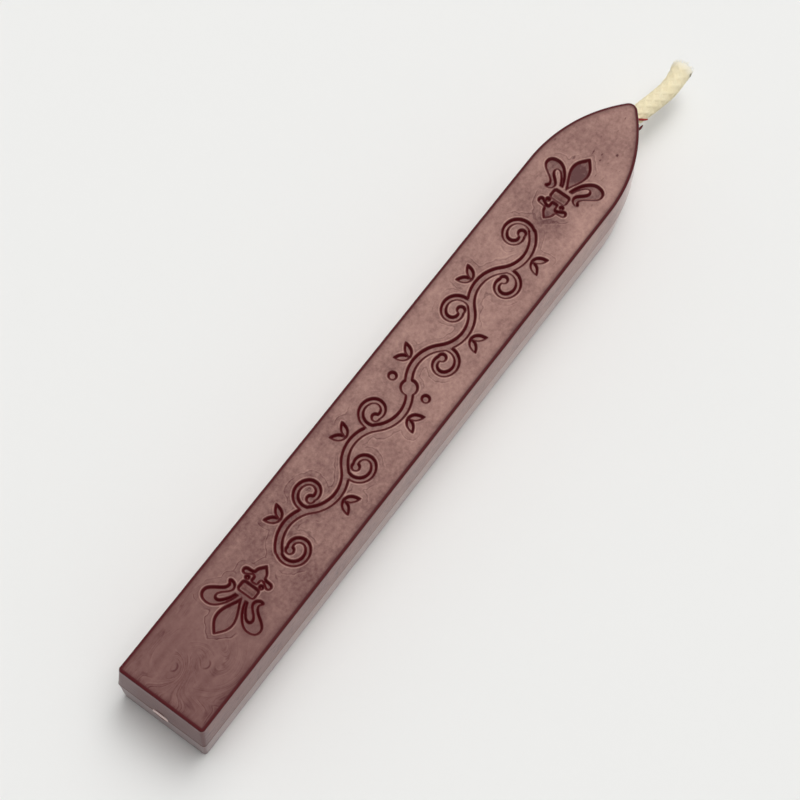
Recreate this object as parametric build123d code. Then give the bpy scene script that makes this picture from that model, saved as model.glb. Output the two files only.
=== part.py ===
from build123d import *
import math
import os

# Wax body: a bar with a pointed nose, cast in a mould that parts at mid height.
# The origin is in the middle of the underside, and the nose points along +X. Sizes are in millimetres.
body_length = 90.0
body_width = 12.0
body_height = 11.0
draft_angle = 3.0
nose_flank_radius = 19.3
nose_radius = 1.3
edge_radius = 0.3

# Wick: laid on the parting plane before the wax is poured, with a free tail beyond the nose.
# Each tail point gives its distance past the nose, then its shift to the left and upwards.
wick_diameter = 2.2
tail_points = [(0.9, 0.0, 0.0), (4.3, -0.72, -0.05), (7.7, -1.32, -0.15), (10.9, -0.78, -0.2)]
bend_share = 0.45

# Ornament sunk into the top face
ornament_depth = 0.38

# Fleur-de-lis at each end, measured from the middle of its collar, with its petals along +X.
# A list holds Bezier curves, and one half is drawn where the shape is the same on both sides.
nose_fleur_inset = 15.5
butt_fleur_inset = 15.65
petal_half = [
    [(1.2, 0.0), (2.2, 0.35), (3.1, 1.08), (4.1, 1.08)],
    [(4.1, 1.08), (5.0, 1.08), (5.5, 0.5), (6.1, 0.0)],
]
side_petal = [
    [(1.2, 0.5), (2.4, 0.75), (3.83, 1.7), (3.83, 2.75)],
    [(3.83, 2.75), (3.83, 3.5), (3.5, 3.9), (2.9, 3.9)],
    [(2.9, 3.9), (1.9, 3.9), (1.6, 2.05), (0.75, 2.05)],
    [(0.75, 2.05), (0.55, 2.05), (0.5, 2.3), (0.33, 2.3)],
    [(0.33, 2.3), (0.05, 2.3), (0.1, 1.35), (0.85, 1.3)],
    [(0.85, 1.3), (1.5, 1.25), (1.9, 2.42), (2.5, 2.42)],
    [(2.5, 2.42), (2.85, 2.42), (2.95, 2.05), (2.6, 1.7)],
    [(2.6, 1.7), (2.2, 1.3), (1.7, 1.0), (1.2, 0.85)],
]
foot_half = [
    [(-0.92, 0.0), (-0.92, 0.25), (-0.92, 0.4), (-1.1, 0.42)],
    [(-1.1, 0.42), (-1.35, 0.45), (-1.75, 0.3), (-1.62, 0.72)],
    [(-1.62, 0.72), (-1.55, 0.95), (-1.25, 1.25), (-1.2, 1.5)],
    [(-1.2, 1.5), (-1.15, 1.9), (-1.8, 2.05), (-1.93, 1.6)],
    [(-1.93, 1.6), (-2.02, 1.3), (-1.9, 0.74), (-2.2, 0.7)],
    [(-2.2, 0.7), (-2.7, 0.66), (-2.9, 0.28), (-3.3, 0.0)],
]
foot_knob_radius = 0.25
foot_knob_place = (-1.04, 0.95)
collar_length = 1.3
collar_width = 2.2
collar_corner = 0.35

# Vine between the two fleurs-de-lis: a waved stem that sends a curled tendril into every bay
vine_gap = 2.1
vine_bay_length = 6.0
stem_width = 0.85
stem_slope = 45.0
tendril_width = 0.65
tendril_outer_radius = 1.6
tendril_inner_radius = 1.0
tendril_eye_radius = 0.5
leaf_gap = 0.35
leaf_lean = 38.0
leaf_half = [[(0.0, 0.0), (0.5, 0.5), (1.1, 0.55), (1.9, 0.0)]]
boss_radius = 1.0
bead_radius = 0.5
bead_offset = 2.3

# Places that follow from the sizes above
nose_x = body_length / 2
wick_height = body_height / 2
nose_fleur_x = nose_x - nose_fleur_inset
butt_fleur_x = butt_fleur_inset - nose_x
foot_reach = -foot_half[-1][-1][0]
vine_reach = min(nose_fleur_x, -butt_fleur_x) - foot_reach - vine_gap
bay_count = max(1, round(vine_reach / vine_bay_length))
bay_length = vine_reach / bay_count
stem_radius = bay_length / 2 / math.sin(math.radians(stem_slope))
stem_rise = stem_radius * (1 - math.cos(math.radians(stem_slope)))


def parting_outline():
    """Outline of the bar on the parting plane: a square butt, straight sides and a rounded point."""
    half_width = body_width / 2
    centre_distance = nose_flank_radius - nose_radius
    flank_drop = nose_flank_radius - half_width
    nose_centre_x = nose_x - nose_radius
    shoulder_x = nose_centre_x - math.sqrt(centre_distance**2 - flank_drop**2)
    join_x = nose_centre_x + nose_radius * (nose_centre_x - shoulder_x) / centre_distance
    join_y = nose_radius * flank_drop / centre_distance
    butt = Line((-nose_x, half_width), (-nose_x, -half_width))
    right_side = Line((-nose_x, -half_width), (shoulder_x, -half_width))
    right_flank = TangentArc((shoulder_x, -half_width), (join_x, -join_y), tangent=(1, 0))
    nose = ThreePointArc((join_x, -join_y), (nose_x, 0), (join_x, join_y))
    left_flank = TangentArc((shoulder_x, half_width), (join_x, join_y), tangent=(1, 0))
    left_side = Line((shoulder_x, half_width), (-nose_x, half_width))
    return make_face([butt, right_side, right_flank, nose, left_flank, left_side])


def wax_bar():
    """The plain bar: two equal halves that narrow away from the parting plane, with rounded edges."""
    parting_plane = Plane.XY.offset(wick_height)
    upper = extrude(Pos(0, 0, wick_height) * parting_outline(), amount=body_height - wick_height)
    upper = draft(upper.faces().sort_by(Axis.Z)[1:-1], parting_plane, draft_angle)
    top_edges = upper.faces().sort_by(Axis.Z)[-1].edges()
    butt_edges = upper.faces().sort_by(Axis.X)[0].edges().sort_by(Axis.Y)
    upper = fillet(top_edges + [butt_edges[0], butt_edges[-1]], edge_radius)
    return upper + mirror(upper, about=parting_plane)


def wick_core():
    """The wick, straight through the wax and then along its free tail."""
    end_setback = wick_diameter / 2 * math.tan(math.radians(draft_angle))
    points = [Vector(end_setback - nose_x, 0, wick_height)]
    points += [Vector(nose_x + along, left, wick_height + up) for along, left, up in tail_points]
    runs = [after - before for before, after in zip(points, points[1:])]
    radii = []
    for before, after in zip(runs, runs[1:]):
        half_turn = math.radians(before.get_angle(after)) / 2
        radii.append(bend_share * min(before.length, after.length) / math.tan(half_turn))
    route = FilletPolyline(*points, radius=radii)
    section = Plane(origin=route @ 0, z_dir=route % 0) * Circle(wick_diameter / 2)
    core = sweep(section, path=route)
    print("wick bend radii", [round(radius, 1) for radius in radii], "length", round(route.length, 2))
    print("wick volume", round(core.volume, 2), "section times length", round(section.area * route.length, 2))
    return core


def opposite(curves):
    """The same curves on the other side of the X axis, in the order that leads back to the start."""
    return [[(x, -y) for x, y in reversed(points)] for points in reversed(curves)]


def outlined(curves):
    """The face inside a chain of Bezier curves, closed by a straight line if its ends lie apart."""
    edges = [Bezier(*points) for points in curves]
    if curves[0][0] != curves[-1][-1]:
        edges.append(Line(curves[-1][-1], curves[0][0]))
    return make_face(edges)


def fleur_de_lis():
    """Three petals, a collar, and a foot with a knob on each side of its neck."""
    petal = outlined(petal_half + opposite(petal_half))
    left_petal = outlined(side_petal)
    right_petal = outlined(opposite(side_petal))
    foot = outlined(foot_half + opposite(foot_half))
    collar = RectangleRounded(collar_length, collar_width, collar_corner)
    along, aside = foot_knob_place
    knobs = Locations((along, aside), (along, -aside)) * Circle(foot_knob_radius)
    return petal + left_petal + right_petal + foot + collar + knobs


def stroke(start, heading, turns, width):
    """A band of even width along arcs that run into each other: each turn is a radius and an angle."""
    arcs = []
    for radius, angle in turns:
        arcs.append(JernArc(start, heading, radius, angle))
        start = arcs[-1] @ 1
        heading = arcs[-1] % 1
    return make_face(offset(Wire(arcs), amount=width / 2).edges())


def vine():
    """The waved stem with its middle boss, and the same tendrils and leaves on both halves."""
    turn = 2 * stem_slope
    first_side = 1 if bay_count % 2 else -1
    stem_turns = [(stem_radius, first_side * turn * (-1) ** bay) for bay in range(2 * bay_count)]
    stem_heading = Vector(1, 0).rotate(Axis.Z, -first_side * stem_slope)
    stem = stroke((-vine_reach, 0), stem_heading, stem_turns, stem_width)
    growth = Sketch()
    leaf = outlined(leaf_half + opposite(leaf_half))
    for bay in range(bay_count):
        side = (-1) ** bay
        branch = Vector((bay + 1) * bay_length, 0)
        heading = Vector(1, 0).rotate(Axis.Z, -side * stem_slope)
        curl = [(tendril_outer_radius, -side * 180), (tendril_inner_radius, -side * 180)]
        inward = heading.rotate(Axis.Z, -side * 90)
        eye = branch + inward * 2 * (tendril_outer_radius - tendril_inner_radius)
        growth += stroke(branch, heading, curl, tendril_width)
        growth += Pos(eye.X, eye.Y) * Circle(tendril_eye_radius)
        leaf_base = stem_rise + stem_width / 2 + leaf_gap
        for lean in (-leaf_lean, leaf_lean):
            place = Pos((bay + 0.5) * bay_length, side * leaf_base)
            growth += place * Rot(0, 0, side * 90 + lean) * leaf
    boss = Circle(boss_radius)
    beads = Locations((0, bead_offset), (0, -bead_offset)) * Circle(bead_radius)
    return stem + boss + growth + Rot(0, 0, 180) * growth + beads


def sunk_ornament():
    """The ornament as a solid that is pressed into the top face."""
    motif = fleur_de_lis()
    design = vine() + Pos(nose_fleur_x, 0) * motif + Pos(butt_fleur_x, 0) * Rot(0, 0, 180) * motif
    return extrude(Pos(0, 0, body_height) * design, amount=-ornament_depth)


os.makedirs("parts", exist_ok=True)
wick = wick_core()
wax_stick = wax_bar() - wick - sunk_ornament()
export_step(wax_stick, "parts/wax_stick.step")
export_step(wick, "parts/wick.step")
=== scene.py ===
# %% [markdown]
# # A stick of sealing wax with a wick
# The real object is a bar of dark red wax, cast round a cotton wick in a mould of two halves.
# A CAD model of it has already been packed, and it is the frame of this scene: the sizes and places
# come from it, and everything below is in metres in the same axes. The nose points along +X, and +Z
# is up. The CAD box is kept, hidden.

# %% Load the frame
import math

import bmesh
import bpy
from mathutils import Matrix, Vector, bvhtree, geometry, kdtree


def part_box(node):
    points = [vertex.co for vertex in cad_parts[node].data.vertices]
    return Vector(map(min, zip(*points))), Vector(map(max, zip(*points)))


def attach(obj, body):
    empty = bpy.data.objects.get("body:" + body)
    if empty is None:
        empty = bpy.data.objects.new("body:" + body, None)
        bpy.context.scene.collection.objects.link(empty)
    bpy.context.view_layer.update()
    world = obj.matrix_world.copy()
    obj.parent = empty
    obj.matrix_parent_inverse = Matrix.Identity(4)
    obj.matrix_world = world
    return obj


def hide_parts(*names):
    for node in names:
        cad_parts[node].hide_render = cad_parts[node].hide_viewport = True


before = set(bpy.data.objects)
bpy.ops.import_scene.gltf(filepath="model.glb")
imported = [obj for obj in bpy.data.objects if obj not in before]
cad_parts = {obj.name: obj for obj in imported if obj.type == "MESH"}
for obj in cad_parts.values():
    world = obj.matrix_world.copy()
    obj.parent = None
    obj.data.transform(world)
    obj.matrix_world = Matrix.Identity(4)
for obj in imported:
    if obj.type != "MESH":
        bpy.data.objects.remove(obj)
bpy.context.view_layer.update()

MM = 0.001
wax_low, wax_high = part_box("wax_stick")
length = -2 * wax_low.x
width = wax_high.y - wax_low.y
height = wax_high.z
print("bar in mm", [round(size / MM, 2) for size in (length, width, height)])

# %% [markdown]
# ## Camera
# The stick was seen from high above its butt, with a long lens. A camera could be placed by eye, but
# the straight edges of a bar are enough to work it out, so it is written here as that result: the
# point that it looks at on the top face, the direction that it looks from, its roll and its lens.

# %% Camera at the viewing angle
AIM = Vector((-1.86, -0.1, 11.0)) * MM
AZIMUTH = math.radians(-60.21)
ELEVATION = math.radians(68.99)
ROLL = math.radians(6.925)
DISTANCE = 266.92 * MM
LENS = 107.99


def linked(name, data):
    """A new object for the data, linked into the scene."""
    item = bpy.data.objects.new(name, data)
    bpy.context.scene.collection.objects.link(item)
    return item


backwards = Vector((
    math.sin(AZIMUTH) * math.cos(ELEVATION),
    -math.cos(AZIMUTH) * math.cos(ELEVATION),
    math.sin(ELEVATION),
))
camera_data = bpy.data.cameras.new("camera")
camera_data.lens = LENS
camera_data.sensor_width = 36.0
camera_data.clip_start = 0.01
camera = linked("camera", camera_data)
camera.location = AIM + backwards * DISTANCE
level = (-backwards).to_track_quat("-Z", "Y").to_matrix()
camera.rotation_euler = (level @ Matrix.Rotation(ROLL, 3, "Z")).to_euler()
bpy.context.scene.camera = camera
bpy.context.scene.view_settings.view_transform = "Standard"
print("camera at", [round(value / MM, 1) for value in camera.location], "mm")

# %% [markdown]
# ## Wax body: the outline of the mould
# The bar's outline has a square butt, straight sides and a point made of two long arcs that run into
# a small round tip. The CAD mesh could be shown as it is, but its triangles are too few and too
# uneven to carry soft edges or a pressed ornament. So the outline is laid out again from the same
# sizes, as points that each know two directions: straight outwards, which the rounding of an edge
# follows, and the way that the point moves when the draft of the mould narrows the bar.

# %% Sizes of the outline
DRAFT = math.tan(math.radians(3.0))
FLANK_RADIUS = 19.3 * MM
NOSE_RADIUS = 1.3 * MM
EDGE_RADIUS = 0.3 * MM
BUTT_CORNER_RADIUS = 0.42 * MM
OUTLINE_STEP = 0.36 * MM
CORNER_STEPS = 6
NOSE_STEPS = 10

nose_x = length / 2
half_width = width / 2
nose_centre_x = nose_x - NOSE_RADIUS
flank_drop = FLANK_RADIUS - half_width
centre_distance = FLANK_RADIUS - NOSE_RADIUS
flank_turn = math.acos(flank_drop / centre_distance)
shoulder_x = nose_centre_x - centre_distance * math.sin(flank_turn)
print("shoulder at x", round(shoulder_x / MM, 2), "mm, nose at", round(nose_x / MM, 2), "mm")


# %% Outline points of the wax body
def shares(count):
    """Even shares from 0 up to but not including 1."""
    return [step / count for step in range(count)]


def arc_points(centre, radius, start, turn, count):
    """Points of an arc, each with its outward direction."""
    points = []
    for share in shares(count):
        out = Vector((math.cos(start + turn * share), math.sin(start + turn * share)))
        points.append((centre + out * radius, out))
    return points


def right_half():
    """Place, outward direction and draft direction from the middle of the butt to the nose."""
    corner_y = half_width - BUTT_CORNER_RADIUS
    corner = Vector((BUTT_CORNER_RADIUS - nose_x, -corner_y))
    side_length = shoulder_x - corner.x
    backward, sideways = Vector((-1, 0)), Vector((0, -1))
    butt = [
        (Vector((-nose_x, -corner_y * share)), backward, backward + sideways * share)
        for share in shares(round(corner_y / OUTLINE_STEP))
    ]
    bend = [
        (place, out, backward + sideways)
        for place, out in arc_points(corner, BUTT_CORNER_RADIUS, math.pi, math.pi / 2, CORNER_STEPS)
    ]
    side = []
    for share in shares(round(side_length / OUTLINE_STEP)):
        behind = 1 - share
        place = Vector((shoulder_x - side_length * behind, -half_width))
        side.append((place, sideways, sideways + backward * behind))
    flank_count = round(flank_turn * FLANK_RADIUS / OUTLINE_STEP)
    flank_centre = Vector((shoulder_x, flank_drop))
    point = arc_points(flank_centre, FLANK_RADIUS, -math.pi / 2, flank_turn, flank_count)
    nose_start = flank_turn - math.pi / 2
    nose_centre = Vector((nose_centre_x, 0))
    point += arc_points(nose_centre, NOSE_RADIUS, nose_start, -nose_start, NOSE_STEPS)
    return butt + bend + side + [(place, out, out) for place, out in point]


right = right_half()
tip = (Vector((nose_x, 0)), Vector((1, 0)), Vector((1, 0)))
left = [tuple(Vector((v.x, -v.y)) for v in point) for point in reversed(right[1:])]
outline = right + [tip] + left
print("outline of", len(outline), "points")

# %% [markdown]
# ## Wax body: the sides
# The sides are loops of that outline at rising heights. Each height has its own draft and rounding,
# so one rule gives the rounded lower edge, the two drafted halves, the fine raised line where the
# halves of the mould met, and the rounded upper edge. The last loops lie on the flat face just inside
# the edge. Each loop also says how bare its wax is, because handling rubs the bloom off the edges.

# %% Loops round the wax body
PARTING_LIP = 0.02 * MM
PARTING_LIP_RISE = 0.07 * MM
SIDE_SHARES = (0.05, 0.12, 0.22, 0.34, 0.46, 0.58, 0.7, 0.82, 0.92, 0.975)
EDGE_STEPS = 6
FACE_BORDER = ((0.05 * MM, 0.85), (0.13 * MM, 0.5), (0.3 * MM, 0.25), (0.6 * MM, 0.05))

parting_z = height / 2
straight_rise = parting_z - EDGE_RADIUS


def upper_steps():
    """For each height above the parting plane: the rise, the draft, the rounding and the bareness."""
    steps = [(0.0, -PARTING_LIP, 0.0, 0.15), (PARTING_LIP_RISE, 0.0, 0.0, 0.0)]
    for share in SIDE_SHARES:
        rise = straight_rise * share
        steps.append((rise, rise * DRAFT, 0.0, 0.0))
    draft = straight_rise * DRAFT
    for part in range(EDGE_STEPS + 1):
        angle = part / EDGE_STEPS * math.pi / 2
        rise = straight_rise + EDGE_RADIUS * math.sin(angle)
        steps.append((rise, draft, EDGE_RADIUS * (1 - math.cos(angle)), 0.3 if part == 0 else 1.0))
    for inset, bareness in FACE_BORDER:
        steps.append((parting_z, draft + inset, EDGE_RADIUS, bareness))
    return steps


def loop_at(rise, draft, rounding):
    """The outline at a height above or below the parting plane."""
    flat = [place - drawn * draft - out * rounding for place, out, drawn in outline]
    return [Vector((place.x, place.y, parting_z + rise)) for place in flat]


steps = upper_steps()
steps = [(-step[0],) + step[1:] for step in reversed(steps[1:])] + steps
loops = [loop_at(*step[:3]) for step in steps]
border_inset = steps[-1][1] + steps[-1][2]
print(len(loops), "loops from z", round(loops[0][0].z / MM, 2), "to", round(loops[-1][0].z / MM, 2))

# %% [markdown]
# ## Ornament: its rims
# Two fleurs-de-lis and a vine are sunk into the top face. The CAD model holds their outlines as the
# edges where its flat top meets an upright wall, so they are read from a merged copy of its mesh and
# chained into closed loops. The CAD curves are cut into short straight pieces, so each loop is drawn
# again as a smooth curve through its points, which keeps the sharp corners.

# %% Read the rims from the CAD top face
SAME_PLACE = 0.001 * MM
SAME_HEIGHT = 0.01 * MM

cad_wax = bmesh.new()
cad_wax.from_mesh(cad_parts["wax_stick"].data)
bmesh.ops.remove_doubles(cad_wax, verts=cad_wax.verts, dist=SAME_PLACE)
cad_wax.verts.ensure_lookup_table()
cad_surface = bvhtree.BVHTree.FromBMesh(cad_wax)


def is_top(face):
    """Whether a CAD face belongs to the flat top."""
    return face.normal.z > 0.99 and face.calc_center_median().z > height - SAME_HEIGHT


def rim_chains():
    """Closed chains of flat points where the top meets the walls of the ornament."""
    ways = {}
    for edge in cad_wax.edges:
        first, second = edge.link_faces
        painted_wall_shade = second if is_top(first) else first
        if is_top(first) != is_top(second) and abs(painted_wall_shade.normal.z) < 0.5:
            start, end = edge.verts
            ways.setdefault(start.index, []).append(end.index)
            ways.setdefault(end.index, []).append(start.index)
    chains = []
    while ways:
        chain = [next(iter(ways))]
        while chain[-1] in ways:
            onward = ways.pop(chain[-1])
            chain.append(onward[0] if onward[0] in ways else onward[1])
        chains.append([cad_wax.verts[index].co.xy.copy() for index in chain[:-1]])
    return chains


chains = rim_chains()
print(len(chains), "rims with", sum(len(chain) for chain in chains), "points")

# %% Draw the rims again as smooth curves
RIM_STEP = 0.12 * MM
CORNER = math.radians(48)


def smoothed(chain):
    """Points at even steps on a smooth curve through a closed chain, with its corners kept."""
    count = len(chain)
    runs = [chain[(i + 1) % count] - chain[i] for i in range(count)]
    leaving, arriving = [], []
    for before, after in zip(runs[-1:] + runs[:-1], runs):
        reach = min(before.length, after.length)
        inward, onward = before.normalized(), after.normalized()
        if before.angle(after) < CORNER:
            inward = onward = (inward * after.length + onward * before.length).normalized()
        arriving.append(inward * reach)
        leaving.append(onward * reach)
    points = []
    for i in range(count):
        j = (i + 1) % count
        for t in shares(max(1, round(runs[i].length / RIM_STEP))):
            place = chain[i] * (2 * t**3 - 3 * t**2 + 1) + chain[j] * (3 * t**2 - 2 * t**3)
            points.append(place + leaving[i] * (t**3 - 2 * t**2 + t) + arriving[j] * (t**3 - t**2))
    return points


rims = [smoothed(chain) for chain in chains]
print("rims drawn again with", sum(len(rim) for rim in rims), "points")

# %% [markdown]
# ## Wax body: the two flat faces
# The top face needs small triangles beside the rims, where it will be pressed down, and larger ones
# elsewhere. Rows of points on both sides of each rim give that, with a plain grid between them, and
# a constrained Delaunay triangulation joins them without crossing a rim or the border. Every point
# then learns how far it is from the nearest rim: above zero on the face, below zero in the ornament.

# %% Find the nearest rim
rim_points = [point for rim in rims for point in rim]
rim_finder = kdtree.KDTree(len(rim_points))
for index, point in enumerate(rim_points):
    rim_finder.insert(point.to_3d(), index)
rim_finder.balance()


def rim_gap(point):
    """Distance from a flat point to the nearest rim."""
    return rim_finder.find(point.to_3d())[2]


print("the middle of the top is", round(rim_gap(Vector((0, 0))) / MM, 2), "mm from a rim")

# %% Rows of points beside the rims
ROWS = [offset * MM for offset in (0.055, 0.11, 0.17, 0.25, 0.36, 0.48, 0.6)]
ROW_SHARE = 0.86
CLOSEST = 0.045 * MM


def rows_beside_rims():
    """Points in rows on both sides of each rim, where no other rim is nearer."""
    rows = []
    for rim in rims:
        for before, point, after in zip(rim[-1:] + rim[:-1], rim, rim[1:] + rim[:1]):
            along = (after - before).normalized()
            across = Vector((-along.y, along.x))
            for offset in ROWS:
                beside = [point + across * offset, point - across * offset]
                rows += [place for place in beside if rim_gap(place) > ROW_SHARE * offset]
    return rows


def thinned(points):
    """The points without those that lie closer than CLOSEST to an earlier one."""
    cells, kept = {}, []
    for point in points:
        column, row = int(point.x // CLOSEST), int(point.y // CLOSEST)
        near = [cells.get((column + i, row + j)) for i in (-1, 0, 1) for j in (-1, 0, 1)]
        if all(other is None or (other - point).length > CLOSEST for other in near):
            cells[column, row] = point
            kept.append(point)
    return kept


top_points = thinned(rows_beside_rims())
print(len(top_points), "points beside the rims")

# %% Grid of points between them
GRID = 0.42 * MM
GRID_START = ROWS[-1] + 0.3 * GRID
UNDERSIDE_GRID = 2 * MM


def half_width_at(x):
    """Half the width of a flat face at a place along the bar."""
    if x <= shoulder_x:
        return half_width - border_inset
    return math.sqrt((FLANK_RADIUS - border_inset) ** 2 - (x - shoulder_x) ** 2) - flank_drop


def grid_points(step):
    """An even grid inside the border of a flat face."""
    points = []
    for column in range(1, int((length - 2 * border_inset) / step) - 1):
        x = -nose_x + border_inset + column * step
        reach = half_width_at(x)
        count = max(1, round(2 * reach / step))
        points += [Vector((x, reach * (2 * row / count - 1))) for row in range(1, count)]
    return points


top_points += [point for point in grid_points(GRID) if rim_gap(point) > GRID_START]
print(len(top_points), "loose points on the top face")


# %% Triangulate the flat faces
def triangulated(border, rims, loose):
    """Flat points and triangles inside a border, with each point's place in the border if any."""
    points, edges = [], []
    for ring in [[place.xy for place in border]] + rims:
        first = len(points)
        points += ring
        edges += [(first + i, first + (i + 1) % len(ring)) for i in range(len(ring))]
    scaled = [point / MM for point in points + loose]
    made = geometry.delaunay_2d_cdt(scaled, edges, [], 1, 1e-5)
    on_border = [min(origin, default=len(border)) for origin in made[3]]
    return [place * MM for place in made[0]], made[2], on_border


top = triangulated(loops[-1], rims, top_points)
underside = triangulated(loops[0], [], grid_points(UNDERSIDE_GRID))
print("top of", len(top[1]), "faces, underside of", len(underside[1]), "faces")

# %% Join the wax body
FAR = 5 * MM
SURELY_SUNK = 0.1 * MM


def signed_rim_gap(point):
    """Distance to the nearest rim, below zero inside the ornament."""
    above = Vector((point.x, point.y, height + MM))
    hit = cad_surface.ray_cast(above, Vector((0, 0, -1)))[0]
    is_sunk = hit is not None and hit.z < height - SURELY_SUNK
    return -rim_gap(point) if is_sunk else rim_gap(point)


body = bmesh.new()
gap_layer = body.verts.layers.float.new("rim_gap")
edge_layer = body.verts.layers.float.new("edge")
rings = []
for step, loop in zip(steps, loops):
    ring = [body.verts.new(place) for place in loop]
    for vert in ring:
        vert[gap_layer] = FAR
        vert[edge_layer] = step[-1]
    rings.append(ring)
for below, above in zip(rings, rings[1:]):
    for i, j in zip(range(len(below)), list(range(1, len(below))) + [0]):
        body.faces.new((below[i], below[j], above[j], above[i]))
for (places, faces, on_border), ring, z in ((top, rings[-1], height), (underside, rings[0], 0.0)):
    plate = []
    for place, index in zip(places, on_border):
        if index < len(ring):
            plate.append(ring[index])
        else:
            plate.append(body.verts.new((place.x, place.y, z)))
            plate[-1][gap_layer] = signed_rim_gap(place) if z > 0 else FAR
    for face in faces:
        corners = [plate[i] for i in face]
        body.faces.new(corners if z > 0 else corners[::-1])
open_edges = [edge for edge in body.edges if len(edge.link_faces) != 2]
wax_volume = body.calc_volume(signed=True) / MM**3
print("wax body", round(wax_volume), "cubic mm,", len(open_edges), "open edges")
wax_plain = linked("wax_plain", bpy.data.meshes.new("wax_plain"))
body.to_mesh(wax_plain.data)
body.free()
cad_wax.free()

# %% [markdown]
# ## Helpers for materials
# Every node tree below is built by one function, which adds a node, sets its properties and fills its
# inputs with values or with links. Colours are written as sRGB hex values, as in a paint program, and
# one more function turns them into the linear values that the renderer uses.


# %% Node and colour helpers
def add_node(tree, kind, inputs=None, **settings):
    """Add a node with its settings. An input takes a value, an output, or a node's first output."""
    node = tree.nodes.new(kind)
    for name, value in settings.items():
        setattr(node, name, value)
    for key, value in (inputs or {}).items():
        if isinstance(value, bpy.types.Node):
            value = value.outputs[0]
        if isinstance(value, bpy.types.NodeSocket):
            tree.links.new(value, node.inputs[key])
        else:
            node.inputs[key].default_value = value
    return node


def linear(hex_colour):
    """An sRGB hex colour such as "B08040" as a linear colour with full opacity."""
    channels = [int(hex_colour[place:place + 2], 16) / 255 for place in (0, 2, 4)]
    return [c / 12.92 if c <= 0.04045 else ((c + 0.055) / 1.055) ** 2.4 for c in channels] + [1.0]


print("the grey 808080 is", [round(c, 3) for c in linear("808080")[:3]], "in linear values")

# %% [markdown]
# ## Material: cast sealing wax
# Sealing wax is a hard, pigmented wax. Fresh from the mould it is a deep crimson, and it still is at
# its rubbed edges. The same dark crimson paints shade on the steep walls of the ornament. On the flats
# a greyish bloom has grown over it, which dulls the red to a hazy brown and lies unevenly, like breath
# on a window. One colour with some noise would miss that, so the colour is a mix of bare wax and bloom,
# and every mark below only makes the bloom thicker or thinner. How bare the edges are, and where the
# walls get painted shade, comes from the mesh.

# %% Sealing wax: what the material reads
MATH = "ShaderNodeMath"
RANGE = "ShaderNodeMapRange"
NOISE = "ShaderNodeTexNoise"
VECTOR = "ShaderNodeVectorMath"
# Deep crimson of bare wax, also used as painted shade on the walls of the ornament.
BARE_WAX_AND_WALL_SHADE = linear("4E0C12")
BLOOM = linear("B48B7F")
# Grey of dust, also used as a painted reflection of the pale floor on the sides.
DUST_AND_REFLECTION_GREY = linear("AB9D9B")
THIN_WAX = linear("96302F")

wax_material = bpy.data.materials.new("cast_sealing_wax")
wax_material.use_nodes = True
wax = wax_material.node_tree
wax_shader = wax.nodes["Principled BSDF"]
spot = add_node(wax, "ShaderNodeTexCoord").outputs["Object"]
spot_on = add_node(wax, "ShaderNodeSeparateXYZ", {0: spot}).outputs
# This mask holds the rubbed edges and the painted shade of the ornament's walls.
bare = add_node(wax, "ShaderNodeAttribute", attribute_name="bare").outputs["Fac"]
gap = add_node(wax, "ShaderNodeAttribute", attribute_name="rim_gap").outputs["Fac"]
print("bare wax", [round(c, 3) for c in BARE_WAX_AND_WALL_SHADE[:3]], "bloom", [round(c, 3) for c in BLOOM[:3]])

# %% [markdown]
# The bloom is thin where the stick is held, near the butt, thinnest on the end of the butt, and grows
# slowly towards the nose. That growth is partly real bloom and partly a painted sheen of the light,
# which lightens the top towards the nose. The sides have some rubbed specks. Over that lie clouds of
# about 6 mm, a fine grain and faint streaks along the stick, the way that it is wiped. The clouds and
# the grain are fainter near the butt. The grain is drawn at 0.4 mm: the real one is finer, and would
# not show.

# %% Sealing wax: clouds, grain and streaks
CLOUD_SIZE = 6 * MM
GRAIN_SIZE = 0.4 * MM
STREAK_WIDTH = 0.8 * MM
SPECK_SIZE = 0.9 * MM

# Bloom grows towards the nose: partly real bloom, partly a painted sheen of the light.
bloom_and_nose_sheen = add_node(wax, RANGE, {
    "Value": spot_on["X"], "From Min": -42 * MM, "From Max": 6 * MM, "To Min": 0.25, "To Max": 0.67,
})
cloudiness = add_node(wax, RANGE, {
    "Value": spot_on["X"], "From Min": -34 * MM, "From Max": -24 * MM, "To Min": 0.25, "To Max": 1.0,
})
clouds = add_node(wax, NOISE, {
    "Vector": spot, "Scale": 1 / CLOUD_SIZE, "Detail": 6.0, "Roughness": 0.8,
})
clouds = add_node(wax, RANGE, {
    "Value": clouds, "From Min": 0.3, "From Max": 0.7, "To Min": -0.22, "To Max": 0.22,
})
clouds = add_node(wax, MATH, {0: clouds, 1: cloudiness}, operation="MULTIPLY")
grain = add_node(wax, NOISE, {"Vector": spot, "Scale": 1 / GRAIN_SIZE, "Detail": 4.0})
grains = add_node(wax, RANGE, {
    "Value": grain, "From Min": 0.3, "From Max": 0.7, "To Min": -0.14, "To Max": 0.14,
})
grains = add_node(wax, MATH, {0: grains, 1: cloudiness}, operation="MULTIPLY")
lengthwise = add_node(wax, "ShaderNodeMapping", {"Vector": spot, "Scale": (0.06, 1.0, 1.0)})
streaks = add_node(wax, NOISE, {"Vector": lengthwise, "Scale": 1 / STREAK_WIDTH, "Detail": 3.0})
streaks = add_node(wax, RANGE, {
    "Value": streaks, "From Min": 0.3, "From Max": 0.7, "To Min": -0.04, "To Max": 0.04,
})
below_top = add_node(wax, RANGE, {
    "Value": spot_on["Z"], "From Min": height - 0.3 * MM, "From Max": height - MM,
})
side_bloom = add_node(wax, RANGE, {
    "Value": spot_on["X"], "From Min": -44.8 * MM, "From Max": -43.5 * MM,
    "To Min": -0.25, "To Max": 0.02,
})
side_bloom = add_node(wax, MATH, {0: below_top, 1: side_bloom}, operation="MULTIPLY")
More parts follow.
